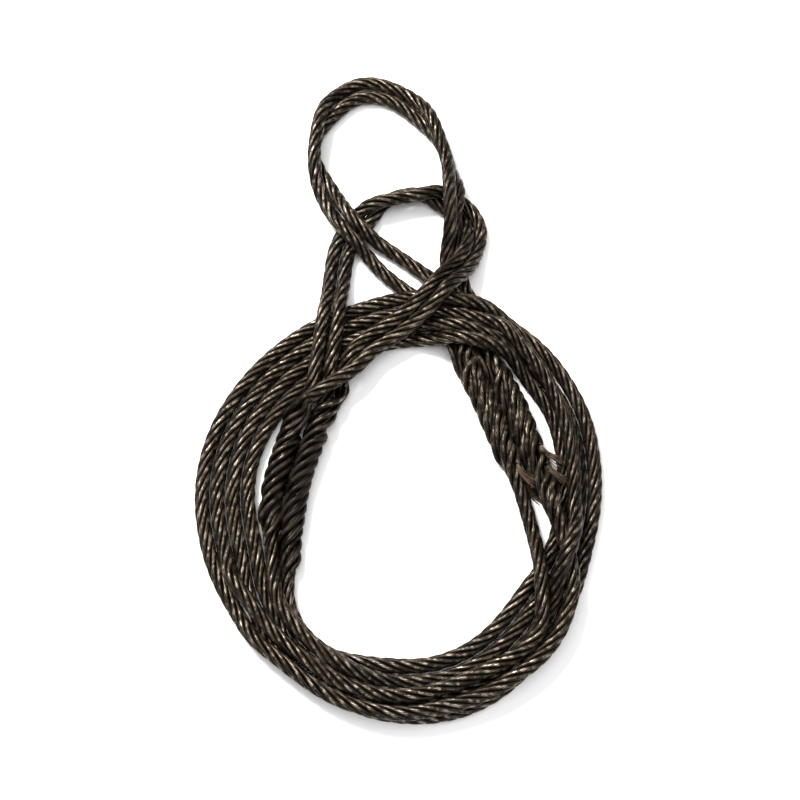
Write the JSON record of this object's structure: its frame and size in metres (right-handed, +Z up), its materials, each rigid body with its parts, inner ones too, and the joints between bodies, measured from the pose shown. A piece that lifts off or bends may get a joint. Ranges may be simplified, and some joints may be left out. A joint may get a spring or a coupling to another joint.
{
  "type": "wire rope sling",
  "caption": "Hand-spliced wire rope slings with a soft eye at each end, coiled together in a flat ring with the eyes laid out above it.",
  "frame": {"origin": "under the middle of the whole lay-out, on the surface it lies on", "axes": "+Z up off that surface; +Y from the coil toward the upper eyes; +X to the right seen from above with the eyes away from the viewer"},
  "size_m": [0.3352, 0.5748, 0.0414],
  "materials": {
    "greased_steel_a": "dark greased",
    "greased_steel_b": "dark greased",
    "tucked_steel": "rusty, greased",
    "core_fibre": "oiled fibre"
  },
  "bodies": {
    "coil": {"a_front_leg_end_core": "core_fibre", "a_front_leg_end_strands": "greased_steel_a", "a_front_splice_tail_1": "tucked_steel", "a_front_splice_tail_2": "tucked_steel", "a_front_splice_tail_3": "tucked_steel", "a_front_splice_tail_4": "tucked_steel", "a_front_splice_tail_5": "tucked_steel", "a_front_splice_tail_6": "tucked_steel", "a_rope_core": "core_fibre", "a_rope_strands": "greased_steel_a", "a_upper_leg_end_core": "core_fibre", "a_upper_leg_end_strands": "greased_steel_a", "a_upper_splice_tail_1": "tucked_steel", "a_upper_splice_tail_2": "tucked_steel", "a_upper_splice_tail_3": "tucked_steel", "a_upper_splice_tail_4": "tucked_steel", "a_upper_splice_tail_5": "tucked_steel", "a_upper_splice_tail_6": "tucked_steel", "b_front_leg_end_core": "core_fibre", "b_front_leg_end_strands": "greased_steel_b", "b_front_splice_tail_1": "tucked_steel", "b_front_splice_tail_2": "tucked_steel", "b_front_splice_tail_3": "tucked_steel", "b_front_splice_tail_4": "tucked_steel", "b_front_splice_tail_5": "tucked_steel", "b_front_splice_tail_6": "tucked_steel", "b_rope_core": "core_fibre", "b_rope_strands": "greased_steel_b", "b_upper_leg_end_core": "core_fibre", "b_upper_leg_end_strands": "greased_steel_b", "b_upper_splice_tail_1": "tucked_steel", "b_upper_splice_tail_2": "tucked_steel", "b_upper_splice_tail_3": "tucked_steel", "b_upper_splice_tail_4": "tucked_steel", "b_upper_splice_tail_5": "tucked_steel", "b_upper_splice_tail_6": "tucked_steel"},
    "upper_eye_a": {"a_upper_eye_core": "core_fibre", "a_upper_eye_strands": "greased_steel_a"},
    "upper_eye_b": {"b_upper_eye_core": "core_fibre", "b_upper_eye_strands": "greased_steel_b"},
    "front_eye_a": {"a_front_eye_core": "core_fibre", "a_front_eye_strands": "greased_steel_a"},
    "front_eye_b": {"b_front_eye_core": "core_fibre", "b_front_eye_strands": "greased_steel_b"}
  },
  "joints": [
    {"name": "upper_eye_a_lift", "type": "hinge", "parent": "coil", "child": "upper_eye_a", "pos_m": [0.0009, 0.07674, 0.00573], "axis": [1, 0, 0], "range_deg": [0, 20]},
    {"name": "upper_eye_b_lift", "type": "hinge", "parent": "coil", "child": "upper_eye_b", "pos_m": [0.0009, 0.07674, 0.00573], "axis": [1, 0, 0], "range_deg": [0, 14.4]},
    {"name": "front_eye_a_lift", "type": "hinge", "parent": "coil", "child": "front_eye_a", "pos_m": [-0.0591, 0.00374, 0.01473], "axis": [0.8879, -0.46, 0], "range_deg": [0, 5.2]},
    {"name": "front_eye_b_lift", "type": "hinge", "parent": "coil", "child": "front_eye_b", "pos_m": [-0.0591, 0.00374, 0.01473], "axis": [0.8879, -0.46, 0], "range_deg": [0, 5.2]}
  ],
  "couplings": [
    {"joint": "upper_eye_b_lift", "follows": "upper_eye_a_lift", "ratio": 0.7},
    {"joint": "front_eye_a_lift", "follows": "upper_eye_a_lift", "ratio": 0.24},
    {"joint": "front_eye_b_lift", "follows": "upper_eye_a_lift", "ratio": 0.24}
  ]
}
